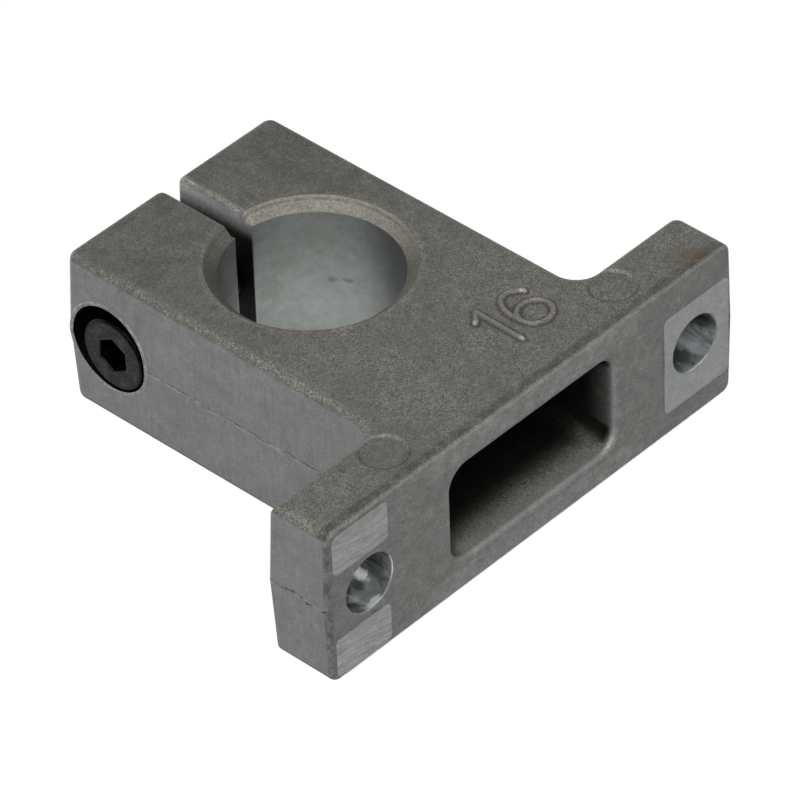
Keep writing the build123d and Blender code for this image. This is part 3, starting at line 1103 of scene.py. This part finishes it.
@dataclass
class PartingFlash(Piece):
    """Thin uneven ridge along the parting line, a flattened tube half sunk into the drafted sides."""

    effects: Effects
    sizes: BlockSizes = BlockSizes()
    width: float = 0.075
    least: float = 0.015
    most: float = 0.085
    pitch: float = 0.12

    def outline(self, foot_corner: float) -> np.ndarray:
        """One half of the outline at the parting plane, from the foot to the slot, on the side of +X.

        Straight runs joined by quarter circles: up the foot's end, round its corner, along its top, round
        the concave shoulder, up the body and round the ear's corner to the slot's soft edge.

        Args:
            foot_corner: radius of the corner of the foot.

        Returns:
            Rows of X, Z and the outward direction's X, Z.
        """
        s = self.sizes
        rows = [np.array([[s.half_length, 0.7, 1.0, 0.0]])]
        arcs = (
            (s.half_length - foot_corner, s.foot_height - foot_corner, foot_corner, 0.0, 90.0, 1.0),
            (s.half_body + s.shoulder, s.foot_height + s.shoulder, s.shoulder, 270.0, 180.0, -1.0),
            (s.half_body - s.corner, s.height - s.corner, s.corner, 0.0, 90.0, 1.0),
        )
        for centre_x, centre_z, radius, begin, end, side in arcs:
            angle = np.radians(np.linspace(begin, end, 13))
            out = np.stack([np.cos(angle), np.sin(angle)], axis=-1)
            place = np.array([centre_x, centre_z]) + radius * out
            rows.append(np.concatenate([place, out * side], axis=-1))
        rows.append(np.array([[s.half_slot + s.slot_edge + 0.05, s.height, 0.0, 1.0]]))
        line = np.concatenate(rows)
        along = np.concatenate([[0.0], np.cumsum(np.hypot(*np.diff(line[:, :2], axis=0).T))])
        steps = np.arange(0.0, along[-1], self.pitch)
        return np.stack([np.interp(steps, along, line[:, column]) for column in range(4)], axis=-1)

    def ridge(self, line: np.ndarray, phase: float, flip: bool) -> tuple[np.ndarray, list[np.ndarray]]:
        """Carries a flat ellipse along a line.

        The ellipse lies in the plane of Y and the outward direction. Its height swings between least and
        most as a sum of sines of the length, and both half axes shrink to nothing at the ends.

        Args:
            line: rows of X, Z and the outward X, Z.
            phase: start of the sines, so that no two ridges are the same.
            flip: True to turn the faces round.

        Returns:
            The points and the faces of a closed ridge.
        """
        steps = np.arange(len(line))
        place = steps * self.pitch
        slow = np.sin(1.9 * place + phase) + 0.7 * np.sin(4.7 * place + 2.0 * phase)
        swing = slow + 0.5 * np.sin(11.3 * place)
        lift = self.least + (self.most - self.least) * np.clip(0.38 + 0.34 * swing, 0.0, 1.0) ** 1.5
        taper = np.sqrt(np.clip(np.minimum(steps, steps[::-1]) / 4.0, 0.0, 1.0))
        angle = np.linspace(0.0, 2.0 * math.pi, 9)[:-1]
        drift = 0.05 * np.sin(0.8 * place + phase) + 0.03 * np.sin(3.1 * place)
        y = drift[:, None] + self.width * taper[:, None] * np.cos(angle)[None]
        outward = (lift * taper)[:, None] * np.sin(angle)[None]
        x, z = (line[:, i, None] + line[:, i + 2, None] * outward for i in range(2))
        return self.tube(np.stack([x, y, z], axis=-1), flip)

    def runs(self, line: np.ndarray, has_seat: bool) -> list[np.ndarray]:
        """Breaks a line where a mounting hole or the screw's seat cuts the casting.

        Args:
            line: the outline of one side.
            has_seat: whether the seat is on this side.

        Returns:
            The parts of the line that are left.
        """
        s = self.sizes
        from_hole = np.abs(np.abs(line[:, 0]) - s.hole_offset)
        cut = (line[:, 1] < s.foot_height + 0.1) & (from_hole < s.hole_radius + 0.05)
        if has_seat:
            cut |= np.abs(line[:, 1] - s.seat_height) < s.seat_radius + 0.25
        changes = np.flatnonzero(np.diff(cut)) + 1
        parts = zip(np.split(line, changes), np.split(cut, changes))
        return [part for part, gone in parts if not gone[0]]

    def build(self) -> bpy.types.Object:
        """Builds the ridges of both sides as one piece.

        Returns:
            The finished piece.
        """
        right = self.outline(self.sizes.corner)
        left = self.outline(self.sizes.crisp_corner) * np.array([-1.0, 1.0, -1.0, 1.0])
        points: list[np.ndarray] = []
        faces: list[np.ndarray] = []
        for half, is_left in ((right, False), (left, True)):
            for line in self.runs(half, is_left):
                total = sum(len(part) for part in points)
                made, parts = self.ridge(line, 0.4 + 1.7 * len(points), not is_left)
                points.append(made)
                faces.extend(part + total for part in parts)
        finish = ReliefFinish(self.effects, "cast_flash", tone(122, 123, 121), grain=0.3, depth=0.01)
        piece = self.mesh("parting_flash", np.concatenate(points), faces, finish)
        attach(piece, "block")
        return piece


@dataclass
class SeatLip(Piece):
    """Soft lip that the casting has round the mouth of the screw seat."""

    effects: Effects
    sizes: BlockSizes = BlockSizes()
    half_width: float = 0.20
    lift: float = 0.07

    def build(self) -> bpy.types.Object:
        """Carries a flat ellipse round the seat's mouth on the drafted side.

        At the angle t round the mouth, the middle of the lip is at Y = r cos t and Z = r sin t from the
        seat's axis, and X lies on the side, which leans in from the parting plane. The lift and width
        swing with slow sines of t.

        Returns:
            The finished piece.
        """
        s = self.sizes
        turn = np.linspace(0.0, 2.0 * math.pi, 145)[:-1]
        angle = np.linspace(0.0, 2.0 * math.pi, 13)[:-1]
        radius = s.seat_radius + 0.14
        centre_y, centre_z = radius * np.cos(turn), radius * np.sin(turn)
        side = -s.half_body + np.abs(centre_y) * s.side_slope
        swing = 0.55 + 0.25 * np.sin(turn * 3.0 + 1.0) + 0.20 * np.sin(turn * 7.0)
        lift = self.lift * np.clip(swing + 0.35 * np.sin(turn - 2.6), 0.15, 1.3)
        out = self.half_width * np.cos(angle)
        y = centre_y[:, None] + np.cos(turn)[:, None] * out[None]
        z = s.seat_height + centre_z[:, None] + np.sin(turn)[:, None] * out[None]
        x = side[:, None] - lift[:, None] * np.sin(angle)[None]
        points = np.stack([x, y, z], axis=-1)
        number = np.arange(points.shape[0] * points.shape[1]).reshape(points.shape[:2])
        next_turn, next_angle = np.roll(number, -1, axis=0), np.roll(number, -1, axis=1)
        opposite = np.roll(next_turn, -1, axis=1)
        quads = np.stack([number, next_turn, opposite, next_angle], axis=-1).reshape(-1, 4)
        finish = ReliefFinish(self.effects, "cast_lip", tone(128, 129, 127), grain=0.35, depth=0.012)
        piece = self.mesh("seat_lip", points.reshape(-1, 3), [quads], finish)
        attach(piece, "block")
        return piece


@dataclass
class ClampScrew(Piece):
    """Socket head cap screw, M4 x 16, one closed skin turned about its axis."""

    effects: Effects
    sizes: BlockSizes = BlockSizes()
    around: int = 180
    head_radius: float = 3.5
    head_height: float = 4.0
    head_edge: float = 0.3
    socket_width: float = 3.0
    socket_depth: float = 2.0
    knurl_depth: float = 0.07
    knurl_teeth: int = 45
    neck_length: float = 1.2
    shank_length: float = 16.0
    thread_radius: float = 1.98
    thread_depth: float = 0.40
    thread_pitch: float = 0.7
    tip: float = 0.5

    def socket_ring(self, angle: np.ndarray) -> np.ndarray:
        """Radius of a hexagon at each angle: half the width over flats by the nearest flat's cosine."""
        sixth = math.pi / 3.0
        return self.socket_width / 2.0 / np.cos(angle % sixth - sixth / 2.0)

    def rings(self) -> np.ndarray:
        """Works out the skin as rings from the socket's floor over the head and down the shank.

        Each ring has a place along the axis and a radius at every angle. The knurl takes a rounded tooth
        wave off the head's radius, and the thread takes a wave off the shank's that moves on by one
        pitch each turn.

        Returns:
            Points as ring, angle, coordinate, with the axis along X.
        """
        angle = np.linspace(0.0, 2.0 * math.pi, self.around, endpoint=False)
        seat = self.sizes.seat_floor
        face = seat - self.head_height
        hexagon = self.socket_ring(angle)
        plain = np.ones_like(angle)
        floor = face + self.socket_depth
        places = [(floor + 0.45, 0.0 * plain), (floor + 0.12, 0.86 * hexagon), (floor, 0.985 * hexagon)]
        places += [(face + step, hexagon) for step in (self.socket_depth - 0.06, 1.2, 0.5, 0.10)]
        places += [(face + 0.03, hexagon + 0.03), (face, hexagon + 0.10)]
        for share in (0.15, 0.4, 0.7, 0.92):
            places.append((face, hexagon + (self.head_radius - self.head_edge - hexagon) * share))
        for turn in np.radians(np.linspace(0.0, 90.0, 7)):
            radius = self.head_radius - self.head_edge + self.head_edge * math.sin(turn)
            places.append((face + self.head_edge * (1.0 - math.cos(turn)), radius * plain))
        tooth = 0.5 - 0.5 * np.cos(angle * self.knurl_teeth)
        knurl_start = face + self.head_edge + 0.25
        for share in np.linspace(0.0, 1.0, 9):
            place = knurl_start + (seat - 0.35 - knurl_start) * share
            depth = self.knurl_depth * math.sin(math.pi * share) ** 0.3 if 0.0 < share < 1.0 else 0.0
            places.append((place, self.head_radius - depth * tooth))
        places += [(seat - 0.10, self.head_radius * plain), (seat, (self.head_radius - 0.12) * plain)]
        places += [(seat, 2.25 * plain), (seat + 0.12, 2.02 * plain)]
        places.append((seat + 0.3, self.thread_radius * plain))
        start, end = seat + self.neck_length, seat + self.shank_length
        for place in np.arange(start, end - 0.05, self.thread_pitch / 10.0):
            phase = (place / self.thread_pitch - angle / (2.0 * math.pi)) % 1.0
            wave = np.clip(np.abs(phase - 0.5) * 2.0 * 1.25 - 0.10, 0.0, 1.0)
            fade = min(1.0, (place - start) / self.thread_pitch)
            radius = self.thread_radius - self.thread_depth * fade * (1.0 - wave)
            limit = self.thread_radius - self.tip + (end - place)
            places.append((place, np.minimum(radius, limit)))
        places += [(end, (self.thread_radius - self.tip) * plain * 0.96), (end, 0.0 * plain)]
        rings = np.empty((len(places), self.around, 3))
        for index, (place, radius) in enumerate(places):
            rings[index, :, 0] = place
            rings[index, :, 1] = self.sizes.screw_offset + radius * np.cos(angle)
            rings[index, :, 2] = self.sizes.screw_height + radius * np.sin(angle)
        return rings

    def build(self) -> bpy.types.Object:
        """Builds the screw in place of its plain CAD node.

        Returns:
            The finished piece.
        """
        points, faces = self.tube(self.rings(), flip=True)
        piece = self.mesh("cap_screw", points, faces, OxideFinish(self.effects))
        piece.modifiers.new("crease", "EDGE_SPLIT").split_angle = math.radians(42.0)
        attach(piece, "screw")
        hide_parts("clamp_screw")
        return piece


@dataclass
class Casting:
    """The casting itself, whose CAD mesh stays and gets its finish."""

    effects: Effects

    def dress(self) -> None:
        """Puts the cast finish on the CAD node."""
        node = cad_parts["support_block"]
        node.data.materials.clear()
        node.data.materials.append(CastingFinish(self.effects).build())
        LOG.info("support_block: %d faces", len(node.data.polygons))


class Ground(Enum):
    """The two pale planes that the block can stand or lie on."""

    STANDING = "ground_standing"
    LYING = "ground_lying"


@dataclass
class Studio:
    """Pale ground, white background, soft lamps and the camera at the photograph's angle."""

    azimuth: float = 45.8503
    elevation: float = 40.0374
    roll: float = -2.2683
    distance: float = 576.0381
    focal_pixels: float = 6866.3866
    shift_right: float = 3.4817
    shift_up: float = -3.3436
    target_height: float = 20.0
    reach: float = 0.16
    glow: float = 0.42
    pale: tuple = (0.72, 0.72, 0.72, 1.0)
    white: tuple = (1.0, 1.0, 1.0, 1.0)
    soft: tuple = (0.97, 0.985, 1.0, 1.0)
    soft_strength: float = 0.14
    lamps: tuple = (
        ("key", (-0.47, -0.65, -0.38), 0.34, 9.4),
        ("crown", (0.05, 0.05, 0.72), 0.40, 2.9),
        ("back", (0.42, 0.55, 0.25), 0.40, 3.2),
        ("right", (0.66, 0.12, 0.15), 0.40, 1.6),
    )
    sizes: BlockSizes = BlockSizes()

    def camera(self) -> None:
        """Sets the camera.

        The camera looks at a point on the block's axis from below and to the left of the numbered face.
        Its up direction is -Y turned by the roll, and the target is shifted in the picture's plane.
        """
        azimuth, elevation, roll = (math.radians(v) for v in (self.azimuth, self.elevation, self.roll))
        flat = math.cos(elevation)
        back = Vector((-flat * math.sin(azimuth), -math.sin(elevation), -flat * math.cos(azimuth)))
        level = (-back).cross(Vector((0.0, -1.0, 0.0))).normalized()
        steep = level.cross(-back)
        right = math.cos(roll) * level + math.sin(roll) * steep
        up = -math.sin(roll) * level + math.cos(roll) * steep
        target = Vector((0.0, 0.0, self.target_height)) + self.shift_right * right + self.shift_up * up
        place = (target + back * self.distance) * MM
        data = bpy.data.cameras.new("photo_camera")
        data.sensor_width = SENSOR_WIDTH
        data.lens = self.focal_pixels * SENSOR_WIDTH / PICTURE_PIXELS
        data.clip_start, data.clip_end = 0.01, 10.0
        camera = bpy.data.objects.new("photo_camera", data)
        turned = Matrix((right, up, back)).transposed().to_4x4()
        camera.matrix_world = Matrix.Translation(place) @ turned
        bpy.context.scene.collection.objects.link(camera)
        bpy.context.scene.camera = camera

    def ground(self, which: Ground) -> None:
        """Adds one pale plane, seen only by the camera and only from its upper side.

        Its colour is a pale diffuse surface, which keeps the block's shadow, with enough glow to meet the
        white background. Light passes through it, so it never shades the faces that look down.

        Args:
            which: the plane under the foot, or the one under the back face.
        """
        r, s = self.reach, self.sizes
        if which is Ground.STANDING:
            corners = [(-r, -r, 0.0), (r, -r, 0.0), (r, r, 0.0), (-r, r, 0.0)]
            half_size, clear_at, full_at = (s.half_length, s.half_depth, 1.0), 90.0, 25.0
        else:
            y, under, rise = s.half_depth * MM, (s.half_length - 2.0) * MM, 4.0 * MM
            lower = [(-r, y, -r), (r, y, -r), (r, y, 0.0), (under, y, 0.0)]
            corners = lower + [(under, y, rise), (-under, y, rise), (-under, y, 0.0), (-r, y, 0.0)]
            half_size, clear_at, full_at = (s.half_length, 100.0, 1.0), 60.0, 15.0
        data = bpy.data.meshes.new(which.value)
        data.from_pydata(corners, [], [tuple(range(len(corners)))])
        plane = bpy.data.objects.new(which.value, data)
        bpy.context.scene.collection.objects.link(plane)
        material, g, place, _ = Finish().start(which.value)
        pale = g.shader("ShaderNodeBsdfDiffuse", Color=self.pale)
        glow = g.shader("ShaderNodeEmission", Color=self.white, Strength=self.glow)
        beyond = g.vector("SUBTRACT", g.vector("ABSOLUTE", place, place), half_size)
        faded = g.ramp(g.length(g.vector("MAXIMUM", beyond, (0.0, 0.0, 0.0))), clear_at, full_at)
        upper = g.minus(1.0, g.add("ShaderNodeNewGeometry").outputs["Backfacing"])
        shown = g.times(g.add("ShaderNodeLightPath").outputs["Is Camera Ray"], upper)
        clear, lit = g.shader("ShaderNodeBsdfTransparent"), g.node("ShaderNodeAddShader", pale, glow)
        mixed = g.node("ShaderNodeMixShader", g.times(shown, faded), clear, lit)
        g.feed(g.add("ShaderNodeOutputMaterial").inputs["Surface"], mixed)
        data.materials.append(material)

    def background(self) -> None:
        """Makes the world white to the camera and to gloss, and a softer light to everything else."""
        world = bpy.data.worlds.new("studio")
        world.use_nodes = True
        world.node_tree.nodes.clear()
        g = Graph(world.node_tree)
        path = g.add("ShaderNodeLightPath")
        seen = g.most(*(path.outputs[f"Is {ray} Ray"] for ray in ("Camera", "Transmission", "Glossy")))
        white = g.shader("ShaderNodeBackground", Color=self.white, Strength=1.0)
        soft = g.shader("ShaderNodeBackground", Color=self.soft, Strength=self.soft_strength)
        mixed = g.node("ShaderNodeMixShader", seen, soft, white)
        g.feed(g.add("ShaderNodeOutputWorld").inputs["Surface"], mixed)
        bpy.context.scene.world = world

    def lamp(self, name: str, place: Sequence[float], size: float, power: float) -> None:
        """Adds a soft square lamp that looks at the block and isn't seen itself.

        Args:
            name: the lamp's name.
            place: where it hangs, in metres.
            size: its side in metres.
            power: its power in watts.
        """
        data = bpy.data.lights.new(name, "AREA")
        data.shape = "SQUARE"
        data.size = size
        data.energy = power
        lamp = bpy.data.objects.new(name, data)
        lamp.location = place
        aim = Vector((0.0, 0.0, self.target_height * MM)) - Vector(place)
        lamp.rotation_mode = "QUATERNION"
        lamp.rotation_quaternion = aim.to_track_quat("-Z", "Y")
        lamp.visible_camera = False
        bpy.context.scene.collection.objects.link(lamp)

    def build(self) -> None:
        """Sets the view transform, the ground, the background, the lamps and the camera."""
        bpy.context.scene.view_settings.view_transform = "Standard"
        for which in Ground:
            self.ground(which)
        self.background()
        for name, place, size, power in self.lamps:
            self.lamp(name, place, size, power)
        self.camera()
        LOG.info("studio: %d lamps", len(bpy.data.lights))


def main() -> None:
    """Builds the finishes, the pieces and the studio in order."""
    logging.basicConfig(level=logging.INFO, format="%(name)s %(message)s")
    effects = Effects.build()
    Casting(effects).dress()
    RaisedNumber(effects).build()
    PartingFlash(effects).build()
    SeatLip(effects).build()
    ClampScrew(effects).build()
    Studio().build()


if __name__ == "__main__":
    main()
